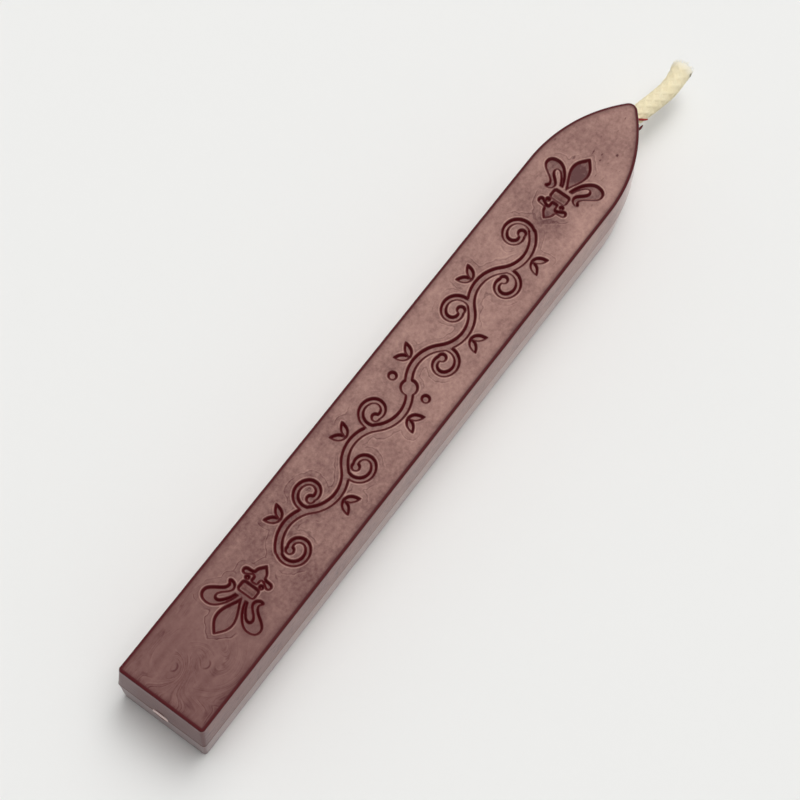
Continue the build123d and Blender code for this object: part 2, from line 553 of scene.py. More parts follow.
specks = add_node(wax, NOISE, {"Vector": spot, "Scale": 1 / SPECK_SIZE, "Detail": 3.0})
specks = add_node(wax, RANGE, {"Value": specks, "From Min": 0.58, "From Max": 0.7, "To Max": -0.22})
side_specks = add_node(wax, MATH, {0: below_top, 1: specks}, operation="MULTIPLY")
layers = [clouds, grains, streaks, side_bloom, side_specks]
print(len(wax.nodes), "nodes so far")

# %% [markdown]
# The wax was poured at the butt end, where it set while it still turned: fine strokes run round two
# eddies there, each with a small dark curl. Drawing every stroke would be endless. Instead a noise
# that is stretched along the stick is turned round each eddy, most at its middle, and thin lines are
# taken from it at a few levels, like contour lines on a map. A second noise leaves gaps in them.

# %% Sealing wax: flow marks near the butt
EDDIES = [(-38.6, -1.3, 5.5, 2.6), (-40.9, 1.3, 3.4, -2.6)]
CURL_RADIUS = 0.55 * MM
STROKES = [(0.5, 0.05, -0.15), (0.4, 0.04, -0.1), (0.58, 0.04, 0.08)]
STROKE_WIDTH = 0.8 * MM
GAP_SIZE = 2.5 * MM


def line_at(value, level, reach, core, amount):
    """Bloom on a thin line where a value passes a level: full within the core, none past the reach."""
    aside = add_node(wax, MATH, {0: value, 1: level}, operation="SUBTRACT")
    aside = add_node(wax, MATH, {0: aside}, operation="ABSOLUTE")
    return add_node(wax, RANGE, {
        "Value": aside, "From Min": reach, "From Max": core, "To Max": amount,
    })


near_butt = add_node(wax, RANGE, {"Value": spot_on["X"], "From Min": -30 * MM, "From Max": -36 * MM})
flow = spot
for x, y, reach, turn in EDDIES:
    centre = (x * MM, y * MM, height)
    away = add_node(wax, VECTOR, {0: spot, 1: centre}, operation="DISTANCE").outputs["Value"]
    angle = add_node(wax, RANGE, {
        "Value": away, "From Min": reach * MM, "From Max": 0.0, "To Max": turn,
    }, interpolation_type="SMOOTHSTEP")
    flow = add_node(wax, "ShaderNodeVectorRotate", {
        "Vector": flow, "Center": centre, "Angle": angle,
    }, rotation_type="Z_AXIS")
    one_side = add_node(wax, RANGE, {
        "Value": spot_on["Y"], "From Min": y * MM, "From Max": (y - 0.5) * MM, "To Max": -0.28,
    })
    layers.append(line_at(away, CURL_RADIUS, 0.16 * MM, 0.03 * MM, one_side))
drawn_out = add_node(wax, "ShaderNodeMapping", {"Vector": flow, "Scale": (0.14, 1.0, 1.0)})
strokes = add_node(wax, NOISE, {
    "Vector": drawn_out, "Scale": 1 / STROKE_WIDTH, "Detail": 2.0, "Distortion": 0.4,
})
gaps = add_node(wax, NOISE, {"Vector": flow, "Scale": 1 / GAP_SIZE, "Detail": 2.0})
gaps = add_node(wax, RANGE, {"Value": gaps, "From Min": 0.44, "From Max": 0.62})
gaps = add_node(wax, MATH, {0: gaps, 1: near_butt}, operation="MULTIPLY")
for level, half_stroke, amount in STROKES:
    stroke = line_at(strokes, level, half_stroke, 0.0, amount)
    layers.append(add_node(wax, MATH, {0: stroke, 1: gaps}, operation="MULTIPLY"))
print(len(EDDIES), "eddies,", len(wax.nodes), "nodes so far")

# %% [markdown]
# The mould leaves traces round the ornament: the wax is redder close to each rim, and broken ghost
# lines wander about a millimetre outside. Some rims have a pale line, which is a painted highlight on
# the lip, and the sunk floors are darker with painted shade, most of all near the nose. All four
# follow the distance to the nearest rim, which the mesh carries.

# %% Sealing wax: traces round the ornament
WANDER = 0.8 * MM
WANDER_SIZE = 2.2 * MM
BREAK_SIZE = 4 * MM
TRACE_CORE = 0.01 * MM

close_by = add_node(wax, RANGE, {
    "Value": gap, "From Min": 0.8 * MM, "From Max": 0.1 * MM, "To Max": -0.12,
})
# Painted shade on the sunk floors of the ornament, deepest near the nose.
floor_shade_amount = add_node(wax, RANGE, {
    "Value": spot_on["X"], "From Min": 26 * MM, "From Max": 33 * MM, "To Min": 0.02, "To Max": -0.3,
})
painted_floor_shade = add_node(wax, RANGE, {
    "Value": gap, "From Min": -0.08 * MM, "From Max": -0.2 * MM, "To Max": floor_shade_amount,
})
wander = add_node(wax, NOISE, {"Vector": spot, "Scale": 1 / WANDER_SIZE, "Detail": 2.0})
wander = add_node(wax, RANGE, {"Value": wander, "To Min": -WANDER, "To Max": WANDER})
wandering = add_node(wax, MATH, {0: gap, 1: wander}, operation="ADD")
broken = add_node(wax, NOISE, {"Vector": spot, "Scale": 1 / BREAK_SIZE, "Detail": 1.0})
layers += [close_by, painted_floor_shade]
for distance, place, half_trace, low, high, amount in (
    (wandering, 0.75, 0.09, 0.48, 0.56, -0.24),
    (wandering, 0.9, 0.09, 0.48, 0.56, 0.14),
    # A pale line just outside the rims: a painted highlight on the lip.
    (gap, 0.22, 0.1, 0.42, 0.5, 0.4),
):
    trace = line_at(distance, place * MM, half_trace * MM, TRACE_CORE, amount)
    present = add_node(wax, RANGE, {"Value": broken, "From Min": low, "From Max": high})
    layers.append(add_node(wax, MATH, {0: trace, 1: present}, operation="MULTIPLY"))
print(len(layers), "layers of bloom so far")

# %% [markdown]
# Handling has left rubbed, redder patches on the top. Lighter patches at a few places along its right
# edge are a painted sheen. Each has its middle, its reach and the bloom that it adds or takes away. A
# few small dents lie near the nose: the peaks of a noise that is stretched along a slant.

# %% Sealing wax: patches and dents
PATCHES_AND_PAINTED_SHEEN = [
    (25.8, -1.3, 3.4, -0.36), (27.4, 3.2, 4.2, -0.22), (37.4, 1.4, 5.0, -0.12),
    (33.3, -0.1, 1.7, -0.25), (-25.0, -5.0, 4.0, -0.14), (11.5, -5.0, 3.5, -0.12),
    # The last three add bloom along the right edge: a painted sheen.
    (1.5, -5.0, 5.0, 0.12), (27.0, -5.0, 6.0, 0.2), (33.0, -4.5, 3.0, 0.15),
]
PATCH_CORE = 0.8 * MM
DENT_SIZE = 0.55 * MM

for x, y, reach, amount in PATCHES_AND_PAINTED_SHEEN:
    from_middle = add_node(wax, VECTOR, {
        0: spot, 1: (x * MM, y * MM, height),
    }, operation="DISTANCE").outputs["Value"]
    layers.append(add_node(wax, RANGE, {
        "Value": from_middle, "From Min": reach * MM, "From Max": PATCH_CORE, "To Max": amount,
    }, interpolation_type="SMOOTHSTEP"))
slanted = add_node(wax, "ShaderNodeMapping", {
    "Vector": spot, "Rotation": (0.0, 0.0, math.radians(35)), "Scale": (0.45, 1.0, 1.0),
})
dents = add_node(wax, NOISE, {"Vector": slanted, "Scale": 1 / DENT_SIZE, "Detail": 1.0})
near_nose = add_node(wax, RANGE, {
    "Value": spot_on["X"], "From Min": 26 * MM, "From Max": 36 * MM, "To Min": 0.0, "To Max": -0.5,
})
dents = add_node(wax, RANGE, {"Value": dents, "From Min": 0.69, "From Max": 0.77})
layers.append(add_node(wax, MATH, {0: dents, 1: near_nose}, operation="MULTIPLY"))
print(len(layers), "layers of bloom")

# %% [markdown]
# The layers are added up, and the bareness of the edges and the painted shade of the walls take the
# bloom away again. Grey lies on the sides, and a trace of it on the top: it is dust, and on the sides
# it is also a painted reflection of the pale floor. Where wax is as thin as a thread, light comes
# through it and it is a clearer red. Bloom is rougher than bare wax, and the strokes and grain are a
# slight relief. Bloom and dust also scatter light that grazes them, so a face that is seen nearly
# from its edge looks pale. A paler colour would be wrong from every other side, so a sheen does it,
# which acts by angle.

# %% Sealing wax: colour, sheen and fine relief
THINNEST_BLOOM = 0.06
RELIEF = 0.04 * MM

thickness = bloom_and_nose_sheen
for layer in layers:
    thickness = add_node(wax, MATH, {0: thickness, 1: layer}, operation="ADD")
thickness = add_node(wax, MATH, {0: thickness, 1: THINNEST_BLOOM}, operation="MAXIMUM")
cover = add_node(wax, MATH, {0: 1.0, 1: bare}, operation="SUBTRACT")
bloom = add_node(wax, MATH, {0: thickness, 1: cover}, operation="MULTIPLY", use_clamp=True)
wax_colour = add_node(wax, "ShaderNodeMix", {0: bloom, 6: BARE_WAX_AND_WALL_SHADE, 7: BLOOM}, data_type="RGBA")
dullness = add_node(wax, RANGE, {"Value": bloom, "To Min": 0.36, "To Max": 0.48})
raised = add_node(wax, MATH, {0: grain, 1: 0.5, 2: thickness}, operation="MULTIPLY_ADD")
wax_bump = add_node(wax, "ShaderNodeBump", {
    "Height": raised, "Strength": 0.5, "Distance": RELIEF,
})
# Grey on the sides, growing towards the nose: dust and a painted reflection of the pale floor.
side_dust_and_reflection = add_node(wax, RANGE, {
    "Value": spot_on["X"], "From Min": -44 * MM, "From Max": -6 * MM, "To Min": 0.0, "To Max": 0.2,
})
dust_and_painted_reflection = add_node(wax, RANGE, {"Value": below_top, "To Min": 0.03, "To Max": side_dust_and_reflection})
dust_and_painted_reflection = add_node(wax, MATH, {0: dust_and_painted_reflection, 1: cover}, operation="MULTIPLY")
with_dust_and_reflection = add_node(wax, "ShaderNodeMix", {0: dust_and_painted_reflection, 6: wax_colour.outputs[2], 7: DUST_AND_REFLECTION_GREY}, data_type="RGBA")
thin = add_node(wax, "ShaderNodeAttribute", attribute_name="thin").outputs["Fac"]
final = add_node(wax, "ShaderNodeMix", {0: thin, 6: with_dust_and_reflection.outputs[2], 7: THIN_WAX}, data_type="RGBA")
wax.links.new(final.outputs[2], wax_shader.inputs["Base Color"])
wax.links.new(dullness.outputs[0], wax_shader.inputs["Roughness"])
wax.links.new(wax_bump.outputs[0], wax_shader.inputs["Normal"])
wax_shader.inputs["IOR"].default_value = 1.45
wax_shader.inputs["Specular IOR Level"].default_value = 0.2
wax_shader.inputs["Sheen Weight"].default_value = 0.56
wax_shader.inputs["Sheen Roughness"].default_value = 0.21
print(len(wax.nodes), "nodes in the wax material")

# %% [markdown]
# ## Helpers for Geometry Nodes
# Two trees follow, one for the ornament and one for the wick. Each starts with named inputs for its
# sizes. Each ends with smooth shading, real geometry, because the export drops instances, and a
# material. A third function runs a tree on an object and keeps the result as a plain mesh.


# %% Tree helpers
def start_tree(name, sizes):
    """A Geometry Nodes tree with named inputs: the tree and the values that these are given."""
    tree = bpy.data.node_groups.new(name, "GeometryNodeTree")
    tree.interface.new_socket("Geometry", in_out="INPUT", socket_type="NodeSocketGeometry")
    for size, kind in sizes.items():
        tree.interface.new_socket(size, in_out="INPUT", socket_type="NodeSocket" + kind)
    tree.interface.new_socket("Geometry", in_out="OUTPUT", socket_type="NodeSocketGeometry")
    return tree, add_node(tree, "NodeGroupInput").outputs


def end_tree(tree, made, material):
    """Smooth shading, real geometry instead of instances, and the material, then the output."""
    smooth = add_node(tree, "GeometryNodeSetShadeSmooth", {"Geometry": made})
    real = add_node(tree, "GeometryNodeRealizeInstances", {"Geometry": smooth})
    painted = add_node(tree, "GeometryNodeSetMaterial", {"Geometry": real, "Material": material})
    add_node(tree, "NodeGroupOutput", {"Geometry": painted})


def run_tree(tree, source, values, name):
    """Run a tree on a source object, and replace that object by a plain mesh of the result."""
    modifier = source.modifiers.new(tree.name, "NODES")
    modifier.node_group = tree
    for socket in tree.interface.items_tree:
        if socket.in_out == "INPUT" and socket.name in values:
            modifier[socket.identifier] = values[socket.name]
    evaluated = source.evaluated_get(bpy.context.evaluated_depsgraph_get())
    piece = linked(name, bpy.data.meshes.new_from_object(evaluated))
    piece.data.name = name
    bpy.data.objects.remove(source)
    print(name, "has", sum(len(face.vertices) - 2 for face in piece.data.polygons), "triangles")
    return piece


print(len(bpy.data.node_groups), "Geometry Nodes trees before the first one")

# %% [markdown]
# ## Ornament: pressing it in
# The mould stands proud where the ornament is, so the wax is lower there by about 0.4 mm, with rounded
# rims and a soft foot to each wall. Cutting the shapes out with a Boolean would leave hard edges. One
# Geometry Nodes tree does it with the stored distance instead: a smooth step turns it into a depth,
# and a faint lip rises round each rim where the wax was pulled up with the mould. The same step says
# where the walls are, which get painted shade in the dark colour of the bare, rubbed edges.

# %% Press: depth, lip and bareness
press, given = start_tree("press_ornament", {
    "Depth": "Float", "Rim Start": "Float", "Wall End": "Float", "Lip Height": "Float",
    "Lip Width": "Float", "Unevenness": "Float", "Lump Size": "Float", "Nose Collar": "Float",
    "Butt Collar": "Float", "Ridge Length": "Float", "Ridge Width": "Float", "Ridge Height": "Float",
    "Material": "Material",
})
position = add_node(press, "GeometryNodeInputPosition")
position_on = add_node(press, "ShaderNodeSeparateXYZ", {0: position}).outputs
from_rim = add_node(press, "GeometryNodeInputNamedAttribute", {"Name": "rim_gap"}, data_type="FLOAT")
rubbed_edge = add_node(press, "GeometryNodeInputNamedAttribute", {"Name": "edge"}, data_type="FLOAT")
sunk = add_node(press, RANGE, {
    "Value": from_rim, "From Min": given["Rim Start"], "From Max": given["Wall End"],
}, interpolation_type="SMOOTHSTEP")
lip = add_node(press, RANGE, {
    "Value": from_rim, "From Min": given["Lip Width"], "From Max": 0.0,
}, interpolation_type="SMOOTHSTEP")
half_way = add_node(press, MATH, {0: sunk, 1: 0.5}, operation="SUBTRACT")
half_way = add_node(press, MATH, {0: half_way}, operation="ABSOLUTE")
# The walls get painted shade: they are stored with the rubbed edges, so the material paints them dark.
painted_wall_shade = add_node(press, RANGE, {"Value": half_way, "From Min": 0.5, "From Max": 0.46})
bareness = add_node(press, MATH, {0: painted_wall_shade, 1: rubbed_edge}, operation="MAXIMUM")
stored = add_node(press, "GeometryNodeStoreNamedAttribute", {
    "Geometry": given["Geometry"], "Name": "bare", "Value": bareness,
}, data_type="FLOAT", domain="POINT")
drop = add_node(press, MATH, {0: sunk, 1: given["Depth"]}, operation="MULTIPLY")
lift = add_node(press, MATH, {0: lip, 1: given["Lip Height"]}, operation="MULTIPLY")
rise = add_node(press, MATH, {0: lift, 1: drop}, operation="SUBTRACT")
print(len(press.nodes), "nodes so far")

# %% [markdown]
# A low ridge crosses the floor of each fleur-de-lis's collar, like the band that ties the petals. It
# could be a piece of its own, but it is one with the wax, so the tree raises the floor there: by the
# distance along the stick from the middle of a collar, and only as far sideways as the ridge is long.

# %% Press: collar ridges
sideways = add_node(press, MATH, {0: position_on["Y"]}, operation="ABSOLUTE")
sideways = add_node(press, MATH, {0: given["Ridge Length"], 1: sideways}, operation="SUBTRACT")
ridge_end = add_node(press, RANGE, {"Value": sideways, "From Max": 0.1 * MM})
ridge = 0.0
for collar in ("Nose Collar", "Butt Collar"):
    from_collar = add_node(press, MATH, {0: position_on["X"], 1: given[collar]}, operation="SUBTRACT")
    from_collar = add_node(press, MATH, {0: from_collar}, operation="ABSOLUTE")
    crest = add_node(press, RANGE, {
        "Value": from_collar, "From Min": given["Ridge Width"], "From Max": 0.0,
    }, interpolation_type="SMOOTHSTEP")
    ridge = add_node(press, MATH, {0: crest, 1: ridge}, operation="ADD")
for factor in (ridge_end, given["Ridge Height"], sunk):
    ridge = add_node(press, MATH, {0: ridge, 1: factor}, operation="MULTIPLY")
rise = add_node(press, MATH, {0: rise, 1: ridge}, operation="ADD")
print(len(press.nodes), "nodes so far")

# %% [markdown]
# Cast wax is never quite flat, because it shrinks as it cools. A broad noise moves each point a few
# hundredths of a millimetre in or out, but not at the foot, which stays flat on the table. Then the
# tree runs on the plain body, with all its sizes given by name.

# %% Press the ornament and let the wax settle
lump_scale = add_node(press, MATH, {0: 1.0, 1: given["Lump Size"]}, operation="DIVIDE")
lumps = add_node(press, NOISE, {"Scale": lump_scale, "Detail": 2.0})
lump = add_node(press, MATH, {0: lumps, 1: 0.5}, operation="SUBTRACT")
off_floor = add_node(press, RANGE, {"Value": position_on["Z"], "From Max": MM})
for factor in (given["Unevenness"], off_floor):
    lump = add_node(press, MATH, {0: lump, 1: factor}, operation="MULTIPLY")
outward = add_node(press, "GeometryNodeInputNormal")
swollen = add_node(press, VECTOR, {0: outward, "Scale": lump}, operation="SCALE")
upward = add_node(press, "ShaderNodeCombineXYZ", {"Z": rise})
move = add_node(press, VECTOR, {0: swollen, 1: upward}, operation="ADD")
pressed = add_node(press, "GeometryNodeSetPosition", {"Geometry": stored, "Offset": move})
end_tree(press, pressed, given["Material"])
wax_body = run_tree(press, wax_plain, {
    "Depth": 0.38 * MM, "Rim Start": 0.14 * MM, "Wall End": -0.22 * MM, "Lip Height": 0.03 * MM,
    "Lip Width": 0.3 * MM, "Unevenness": 0.06 * MM, "Lump Size": 6 * MM, "Nose Collar": 29.5 * MM,
    "Butt Collar": -29.35 * MM, "Ridge Length": 0.85 * MM, "Ridge Width": 0.3 * MM,
    "Ridge Height": 0.2 * MM, "Material": wax_material,
}, "wax_body")
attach(wax_body, "root")
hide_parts("wax_stick")

# %% [markdown]
# ## Wax flash
# Where the mould closes round the wick, a little wax is squeezed out: a thin thread along the right
# of the wick, and a dab on the right flank of the nose. They could be sculpted, but a curve whose
# thickness changes from point to point is enough, so each is a short line with its own radii.

# %% Thread and dab of wax at the nose
THREAD = [
    (45.5, -0.3, 6.0, 0.1), (45.73, -0.6, 6.2, 0.13), (46.03, -0.95, 6.2, 0.15),
    (46.23, -1.24, 6.1, 0.15), (46.6, -1.52, 6.0, 0.08),
]
DAB = [
    (42.45, -2.0, 10.0, 0.1), (42.8, -2.2, 10.05, 0.16),
    (43.15, -2.23, 10.1, 0.16), (43.45, -2.25, 10.2, 0.06),
]
DAB_THINNESS = 0.1

flash_data = bpy.data.curves.new("wax_flash", "CURVE")
flash_data.dimensions = "3D"
flash_data.bevel_depth = MM
flash_data.bevel_resolution = 3
flash_data.use_fill_caps = True
for points in (THREAD, DAB):
    flash_line = flash_data.splines.new("NURBS")
    flash_line.points.add(len(points) - 1)
    for point, (x, y, z, radius) in zip(flash_line.points, points):
        point.co = (x * MM, y * MM, z * MM, 1.0)
        point.radius = radius
    flash_line.order_u = 3
    flash_line.use_endpoint_u = True
    flash_line.use_smooth = True
flash_curve = linked("wax_flash_curve", flash_data)
evaluated = flash_curve.evaluated_get(bpy.context.evaluated_depsgraph_get())
wax_flash = linked("wax_flash", bpy.data.meshes.new_from_object(evaluated))
bpy.data.objects.remove(flash_curve)
wax_flash.data.materials.clear()
wax_flash.data.materials.append(wax_material)
thinness = [1.0 if vertex.co.x > nose_x else DAB_THINNESS for vertex in wax_flash.data.vertices]
everywhere = [1.0] * len(thinness)
for name, values in (("bare", everywhere), ("rim_gap", [FAR] * len(thinness)), ("thin", thinness)):
    layer = wax_flash.data.attributes.new(name, "FLOAT", "POINT")
    layer.data.foreach_set("value", values)
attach(wax_flash, "root")
print("thread and dab with", len(wax_flash.data.polygons), "faces")

# %% [markdown]
# ## Wick: its route
# The wick lies straight through the wax from butt to nose, and its free tail bends gently to the
# right and back. A NURBS curve close to the CAD route's points gives one smooth line. One more point
# behind the nose keeps the long cast-in stretch straight.

# %% Wick route
ROUTE = [
    (-45.03, 0.0, 5.5), (42.45, 0.0, 5.5), (45.93, 0.12, 5.5),
    (49.31, -0.72, 5.45), (52.7, -1.32, 5.35), (55.69, -0.82, 5.3),
]

route_data = bpy.data.curves.new("wick_route", "CURVE")
route_data.dimensions = "3D"
route_data.resolution_u = 40
line = route_data.splines.new("NURBS")
line.points.add(len(ROUTE) - 1)
for point, (x, y, z) in zip(line.points, ROUTE):
    point.co = (x * MM, y * MM, z * MM, 1.0)
line.order_u = 3
line.use_endpoint_u = True
wick_route = linked("wick_route", route_data)
wick_length = line.calc_length()
print("wick route of", len(ROUTE), "points,", round(wick_length / MM, 1), "mm long")

# %% [markdown]
# ## Material: waxed cotton
# The wick is plaited from cotton yarn and soaked with pale wax, so it is cream and matt, and its
# grooves are filled. The yarns' colour wanders only slightly. Its loose end is dry and paler, with one
# singed speck. At the butt the wick was cut flush with the wax, and the blade dragged red wax over it:
# only a pale pinkish streak of cotton still shows.

# %% Waxed cotton: yarn and cut end
COTTON = linear("F3E9CB")
COTTON_DEEP = linear("ECDDB2")
CUT_COTTON = linear("DFCBC6")
DRAGGED_WAX = linear("785450")
YARN_SIZE = 1.2 * MM
DRAG_WIDTH = 0.35 * MM
DRAG = 0.5 * MM

cotton_material = bpy.data.materials.new("waxed_cotton")
cotton_material.use_nodes = True
cotton = cotton_material.node_tree
cotton_shader = cotton.nodes["Principled BSDF"]
place = add_node(cotton, "ShaderNodeTexCoord").outputs["Object"]
place_on = add_node(cotton, "ShaderNodeSeparateXYZ", {0: place}).outputs
yarns = add_node(cotton, NOISE, {"Vector": place, "Scale": 1 / YARN_SIZE, "Detail": 4.0})
yarn_colour = add_node(cotton, "ShaderNodeMix", {0: yarns, 6: COTTON, 7: COTTON_DEEP}, data_type="RGBA")
drag = add_node(cotton, "ShaderNodeMapping", {"Vector": place, "Scale": (1.0, 0.3, 1.0)})
drag = add_node(cotton, NOISE, {"Vector": drag, "Scale": 1 / DRAG_WIDTH, "Detail": 2.0})
drag = add_node(cotton, RANGE, {"Value": drag, "To Min": -DRAG, "To Max": DRAG})
below = add_node(cotton, MATH, {0: place_on["Z"], 1: parting_z + 0.1 * MM}, operation="SUBTRACT")
below = add_node(cotton, MATH, {0: below, 1: drag}, operation="ADD")
below = add_node(cotton, MATH, {0: below}, operation="ABSOLUTE")
streak = add_node(cotton, RANGE, {"Value": below, "From Min": 0.75 * MM, "From Max": 0.45 * MM})
cut_colour = add_node(cotton, "ShaderNodeMix", {
    0: streak, 6: DRAGGED_WAX, 7: CUT_COTTON,
}, data_type="RGBA")
print(len(cotton.nodes), "nodes so far")

# %% Waxed cotton: loose end, singed speck and finish
COTTON_TIP = linear("FAF6E8")
SINGED = linear("8F8672")
SPECK = Vector((54.9, -2.1, 5.5)) * MM

at_butt = add_node(cotton, RANGE, {
    "Value": place_on["X"], "From Min": 1 * MM - nose_x, "From Max": 0.6 * MM - nose_x,
})
at_tip = add_node(cotton, RANGE, {"Value": place_on["X"], "From Min": 54.3 * MM, "From Max": 55.5 * MM})
from_speck = add_node(cotton, VECTOR, {0: place, 1: SPECK}, operation="DISTANCE").outputs["Value"]
speck = add_node(cotton, RANGE, {"Value": from_speck, "From Min": 0.4 * MM, "From Max": 0.2 * MM})
cotton_colour = yarn_colour
for share, colour in ((at_tip, COTTON_TIP), (speck, SINGED), (at_butt, cut_colour.outputs[2])):
    cotton_colour = add_node(cotton, "ShaderNodeMix", {
        0: share, 6: cotton_colour.outputs[2], 7: colour,
    }, data_type="RGBA")
cotton.links.new(cotton_colour.outputs[2], cotton_shader.inputs["Base Color"])
cotton_shader.inputs["Roughness"].default_value = 0.7
cotton_shader.inputs["Specular IOR Level"].default_value = 0.3
print(len(cotton.nodes), "nodes in the cotton material")

# %% [markdown]
# ## Wick: its plait
# Strands wind round the route both ways and pass over and under each other at every crossing. A
# Geometry Nodes tree copies the route once for each strand, moves the copies out along a helix, and
# gives them a round section. A filling of wax-soaked yarn leaves only their crowns standing out. The
# mould pinches the plait to a neck at the nose. Past it the plait swells a little, and its end spreads.

# %% Plait: the route, its swelling and the winding angle
plait, given = start_tree("plait_wick", {
    "Strands Each Way": "Int", "Lay Length": "Float", "Plait Radius": "Float", "Crossing Lift": "Float",
    "Strand Radius": "Float", "Filling Radius": "Float", "Step": "Float", "Length": "Float",
    "Tail Length": "Float", "Tail Swell": "Float", "Spread Length": "Float", "Spread": "Float",
    "Longest Cut": "Float", "Shortest Cut": "Float", "Neck Place": "Float", "Neck Length": "Float",
    "Neck": "Float", "Fibres": "Int", "Fibre Radius": "Float", "Fray": "Float",
    "Butt Gap": "Float", "Seed": "Int", "Material": "Material",
})
even = add_node(plait, "GeometryNodeResampleCurve", {
    "Curve": given["Geometry"], "Length": given["Step"],
}, mode="LENGTH")
upright = add_node(plait, "GeometryNodeSetCurveNormal", {"Curve": even}, mode="Z_UP")
travelled = add_node(plait, "GeometryNodeSplineParameter").outputs["Length"]
swell = 1.0
for reach, amount in (("Tail Length", "Tail Swell"), ("Spread Length", "Spread")):
    start = add_node(plait, MATH, {0: given["Length"], 1: given[reach]}, operation="SUBTRACT")
    grown = add_node(plait, RANGE, {
        "Value": travelled, "From Min": start, "From Max": given["Length"], "To Max": given[amount],
    }, interpolation_type="SMOOTHSTEP")
    swell = add_node(plait, MATH, {0: grown, 1: swell}, operation="ADD")
from_neck = add_node(plait, MATH, {0: travelled, 1: given["Neck Place"]}, operation="SUBTRACT")
from_neck = add_node(plait, MATH, {0: from_neck}, operation="ABSOLUTE")
neck = add_node(plait, RANGE, {
    "Value": from_neck, "From Min": given["Neck Length"], "From Max": 0.0, "To Max": given["Neck"],
}, interpolation_type="SMOOTHSTEP")
swell = add_node(plait, MATH, {0: swell, 1: neck}, operation="SUBTRACT")
turns = add_node(plait, MATH, {0: travelled, 1: given["Lay Length"]}, operation="DIVIDE")
angle = add_node(plait, MATH, {0: turns, 1: math.tau}, operation="MULTIPLY")
weave = add_node(plait, MATH, {0: angle, 1: given["Strands Each Way"]}, operation="MULTIPLY")
weave = add_node(plait, MATH, {0: weave}, operation="COSINE")
lift = add_node(plait, MATH, {0: weave, 1: given["Crossing Lift"]}, operation="MULTIPLY")
up = add_node(plait, "GeometryNodeInputNormal")
onward = add_node(plait, "GeometryNodeInputTangent")
aside = add_node(plait, VECTOR, {0: onward, 1: up}, operation="CROSS_PRODUCT")
print(len(plait.nodes), "nodes so far")

# %% [markdown]
# The strands of each hand share one loop of code. Where one hand rises at a crossing, the other goes
# down, and each strand ends a little short or long of the others, as a cut cord does. At the butt the
# strands stop just inside the wax, so that the cut end there is one smooth, smeared disc.

# %% Plait: filling and cut ends
section = add_node(plait, "GeometryNodeCurvePrimitiveCircle", {
    "Resolution": 10, "Radius": given["Strand Radius"],
})
filling_section = add_node(plait, "GeometryNodeCurvePrimitiveCircle", {
    "Resolution": 24, "Radius": given["Filling Radius"],
})
ends = []
for cut in ("Longest Cut", "Shortest Cut"):
    taken = add_node(plait, MATH, {0: given[cut], 1: given["Length"]}, operation="DIVIDE")
    ends.append(add_node(plait, MATH, {0: 1.0, 1: taken}, operation="SUBTRACT"))
first = add_node(plait, MATH, {0: given["Butt Gap"], 1: given["Length"]}, operation="DIVIDE")
cut_filling = add_node(plait, "GeometryNodeTrimCurve", {"Curve": upright, "End": ends[1]})
filling = add_node(plait, "GeometryNodeCurveToMesh", {
    "Curve": cut_filling, "Profile Curve": filling_section, "Scale": swell, "Fill Caps": True,
})
joined = add_node(plait, "GeometryNodeJoinGeometry", {0: filling})
print(len(plait.nodes), "nodes so far")


# %% Plait: strands of both hands
def round_route(turned, radius):
    """The offset from the route to a place round it, by the angle and the radius."""
    offset = (0.0, 0.0, 0.0)
    for direction, wave in ((up, "COSINE"), (aside, "SINE")):
        reach = add_node(plait, MATH, {0: turned}, operation=wave)
        reach = add_node(plait, MATH, {0: reach, 1: radius}, operation="MULTIPLY")
        part = add_node(plait, VECTOR, {0: direction, "Scale": reach}, operation="SCALE")
        offset = add_node(plait, VECTOR, {0: part, 1: offset}, operation="ADD")
    return offset


for hand in (1, -1):
    copies = add_node(plait, "GeometryNodeDuplicateElements", {
        "Geometry": upright, "Amount": given["Strands Each Way"],
    }, domain="SPLINE")
    share = add_node(plait, MATH, {
        0: copies.outputs["Duplicate Index"], 1: given["Strands Each Way"],
    }, operation="DIVIDE")
    start = add_node(plait, MATH, {0: share, 1: math.tau}, operation="MULTIPLY")
    turned = add_node(plait, MATH, {0: angle, 1: hand, 2: start}, operation="MULTIPLY_ADD")
    radius = add_node(plait, MATH, {
        0: lift, 1: hand, 2: given["Plait Radius"],
    }, operation="MULTIPLY_ADD")
    radius = add_node(plait, MATH, {0: radius, 1: swell}, operation="MULTIPLY")
    helix = add_node(plait, "GeometryNodeSetPosition", {
        "Geometry": copies, "Offset": round_route(turned, radius),
    })
    cut = add_node(plait, "FunctionNodeRandomValue", {2: ends[0], 3: ends[1], "Seed": given["Seed"]})
    helix = add_node(plait, "GeometryNodeTrimCurve", {
        "Curve": helix, "Start": first, "End": cut.outputs[1],
    })
    strands = add_node(plait, "GeometryNodeCurveToMesh", {
        "Curve": helix, "Profile Curve": section, "Scale": swell, "Fill Caps": True,
    })
    plait.links.new(strands.outputs[0], joined.inputs[0])
print(len(plait.nodes), "nodes so far")

# %% [markdown]
# The cut end is frayed: single fibres stand out of it in a loose brush. Each one is a copy of the
# route's last stretch, at a random place in the section, that bends outwards towards its end, wanders
# a little and stops at a random length. Real fibres are far finer. They are drawn thick enough to show.

# %% Plait: frayed end
SWAY_SIZE = 0.7 * MM

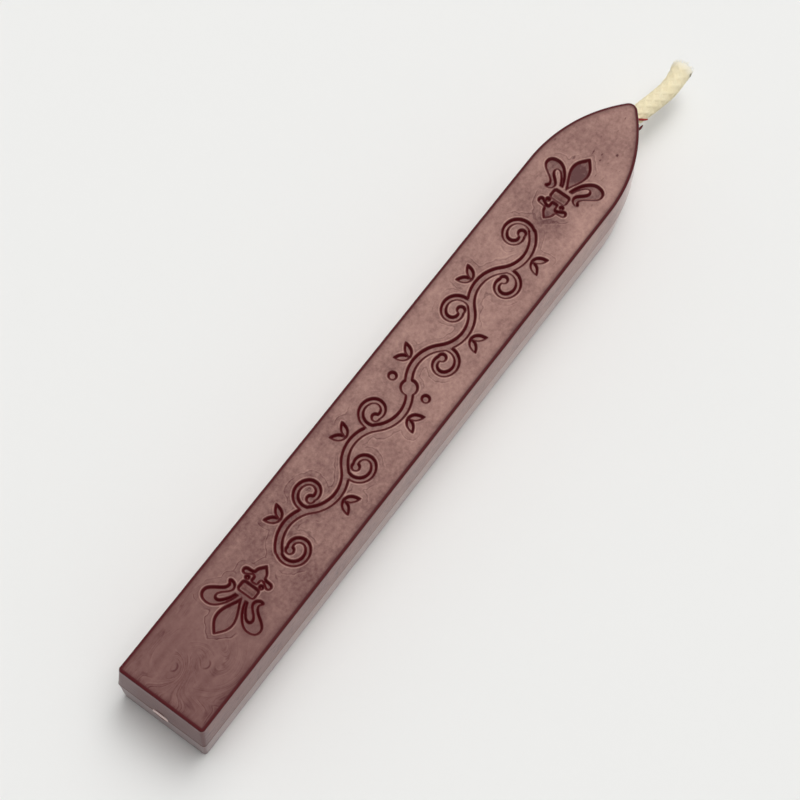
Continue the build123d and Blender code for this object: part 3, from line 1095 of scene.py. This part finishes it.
last = add_node(plait, MATH, {0: given["Spread Length"], 1: given["Length"]}, operation="DIVIDE")
last = add_node(plait, MATH, {0: 1.0, 1: last}, operation="SUBTRACT")
stretch = add_node(plait, "GeometryNodeTrimCurve", {"Curve": upright, "Start": last})
fibres = add_node(plait, "GeometryNodeDuplicateElements", {
    "Geometry": stretch, "Amount": given["Fibres"],
}, domain="SPLINE")
fibre = fibres.outputs["Duplicate Index"]
randoms = []
for low, high, seed_step in ((0.0, math.tau, 1), (0.2, 1.0, 2), (0.72, 1.0, 3)):
    seed = add_node(plait, MATH, {0: given["Seed"], 1: seed_step}, operation="ADD")
    randoms.append(add_node(plait, "FunctionNodeRandomValue", {
        2: low, 3: high, "ID": fibre, "Seed": seed,
    }).outputs[1])
fibre_angle, fibre_place, fibre_reach = randoms
progress = add_node(plait, "GeometryNodeSplineParameter").outputs["Factor"]
progress = add_node(plait, MATH, {0: progress, 1: 2.0}, operation="POWER")
bend = add_node(plait, MATH, {0: progress, 1: given["Fray"]}, operation="MULTIPLY")
bend = add_node(plait, MATH, {0: bend, 1: given["Filling Radius"]}, operation="ADD")
bend = add_node(plait, MATH, {0: bend, 1: fibre_place}, operation="MULTIPLY")
brush = add_node(plait, "GeometryNodeSetPosition", {
    "Geometry": fibres, "Offset": round_route(fibre_angle, bend),
})
wandering = add_node(plait, NOISE, {"Scale": 1 / SWAY_SIZE, "Detail": 1.0}).outputs["Color"]
wandering = add_node(plait, VECTOR, {0: wandering, 1: (0.5, 0.5, 0.5)}, operation="SUBTRACT")
sway = add_node(plait, MATH, {0: progress, 1: given["Fray"]}, operation="MULTIPLY")
wandering = add_node(plait, VECTOR, {0: wandering, "Scale": sway}, operation="SCALE")
brush = add_node(plait, "GeometryNodeSetPosition", {"Geometry": brush, "Offset": wandering})
brush = add_node(plait, "GeometryNodeTrimCurve", {"Curve": brush, "End": fibre_reach})
fibre_section = add_node(plait, "GeometryNodeCurvePrimitiveCircle", {
    "Resolution": 3, "Radius": given["Fibre Radius"],
})
hairs = add_node(plait, "GeometryNodeCurveToMesh", {
    "Curve": brush, "Profile Curve": fibre_section, "Fill Caps": True,
})
plait.links.new(hairs.outputs[0], joined.inputs[0])
end_tree(plait, joined, given["Material"])
print(len(plait.nodes), "nodes in the plait tree")

# %% Plait the wick
wick = run_tree(plait, wick_route, {
    "Strands Each Way": 6, "Lay Length": 8 * MM, "Plait Radius": 0.8 * MM, "Crossing Lift": 0.012 * MM,
    "Strand Radius": 0.28 * MM, "Filling Radius": 1.06 * MM, "Step": 0.25 * MM, "Length": wick_length,
    "Tail Length": 9 * MM, "Tail Swell": 0.04, "Spread Length": 2.6 * MM, "Spread": 0.24,
    "Longest Cut": 1.0 * MM, "Shortest Cut": 0.55 * MM, "Neck Place": 90.1 * MM,
    "Neck Length": 2.6 * MM, "Neck": 0.25, "Fibres": 420, "Fibre Radius": 0.035 * MM,
    "Fray": 0.35 * MM, "Butt Gap": 0.5 * MM, "Seed": 7, "Material": cotton_material,
}, "wick_plait")
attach(wick, "root")
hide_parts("wick")

# %% [markdown]
# ## Floor
# The stick lies on a plain pale table. A large sheet of matt paper is enough, with hardly any gloss.

# %% Floor
FLOOR_COLOUR = linear("F0F0EE")
FLOOR_HALF = 1.5

floor_mesh = bmesh.new()
bmesh.ops.create_grid(floor_mesh, x_segments=8, y_segments=8, size=FLOOR_HALF)
floor = linked("floor", bpy.data.meshes.new("floor"))
floor_mesh.to_mesh(floor.data)
floor_mesh.free()
floor_material = bpy.data.materials.new("matt_paper")
floor_material.use_nodes = True
floor_shader = floor_material.node_tree.nodes["Principled BSDF"]
floor_shader.inputs["Base Color"].default_value = FLOOR_COLOUR
floor_shader.inputs["Roughness"].default_value = 0.9
floor_shader.inputs["Specular IOR Level"].default_value = 0.1
floor.data.materials.append(floor_material)
print("floor of", len(floor.data.polygons), "faces")

# %% [markdown]
# ## Light
# Soft light comes from a bright patch of a white ceiling, nearly overhead and a little towards the
# nose, and from even pale walls. So the shadows stay close to the stick, and the darkest lies at the
# butt. The surroundings give that light: they are brightest along one axis and fade from it down to
# the walls. What the camera and reflections see of them is an even pale tone, set apart from what
# they light. One weak lamp on the nose's side lightens the floor there.

# %% Surroundings
CEILING = Vector((0.25, -0.03, 1.0)).normalized()
CEILING_FADE = 24
CEILING_STRENGTH = 7.1
WALL_STRENGTH = 0.36
SEEN_STRENGTH = 0.86

surround = bpy.data.worlds.new("pale_studio")
surround.use_nodes = True
sky = surround.node_tree
direction = add_node(sky, "ShaderNodeTexCoord").outputs["Generated"]
facing = add_node(sky, VECTOR, {0: direction, 1: CEILING}, operation="DOT_PRODUCT").outputs["Value"]
facing = add_node(sky, MATH, {0: facing, 1: 0.0}, operation="MAXIMUM")
facing = add_node(sky, MATH, {0: facing, 1: CEILING_FADE}, operation="POWER")
shining = add_node(sky, MATH, {
    0: facing, 1: CEILING_STRENGTH, 2: WALL_STRENGTH,
}, operation="MULTIPLY_ADD")
rays = add_node(sky, "ShaderNodeLightPath").outputs
seen = add_node(sky, MATH, {0: rays["Is Camera Ray"], 1: rays["Is Glossy Ray"]}, operation="MAXIMUM")
seen = add_node(sky, MATH, {0: seen, 1: rays["Is Transmission Ray"]}, operation="MAXIMUM")
strength = add_node(sky, RANGE, {"Value": seen, "To Min": shining, "To Max": SEEN_STRENGTH})
sky.links.new(strength.outputs[0], sky.nodes["Background"].inputs["Strength"])
sky.nodes["Background"].inputs["Color"].default_value = (1.0, 1.0, 1.0, 1.0)
bpy.context.scene.world = surround
print("ceiling along", [round(value, 2) for value in CEILING], "with strength", CEILING_STRENGTH)

# %% Lamp
LAMP_DIRECTION = Vector((0.5, 0.18, 0.85)).normalized()
LAMP_DISTANCE = 1.0
LAMP_SIZE = 0.6
LAMP_POWER = 1.2

lamp_data = bpy.data.lights.new("nose_lamp", "AREA")
lamp_data.shape = "DISK"
lamp_data.size = LAMP_SIZE
lamp_data.energy = LAMP_POWER
lamp = linked("nose_lamp", lamp_data)
lamp.location = LAMP_DIRECTION * LAMP_DISTANCE
lamp.rotation_euler = (-LAMP_DIRECTION).to_track_quat("-Z", "Y").to_euler()
print("lamp at", [round(value, 2) for value in lamp.location], "m")
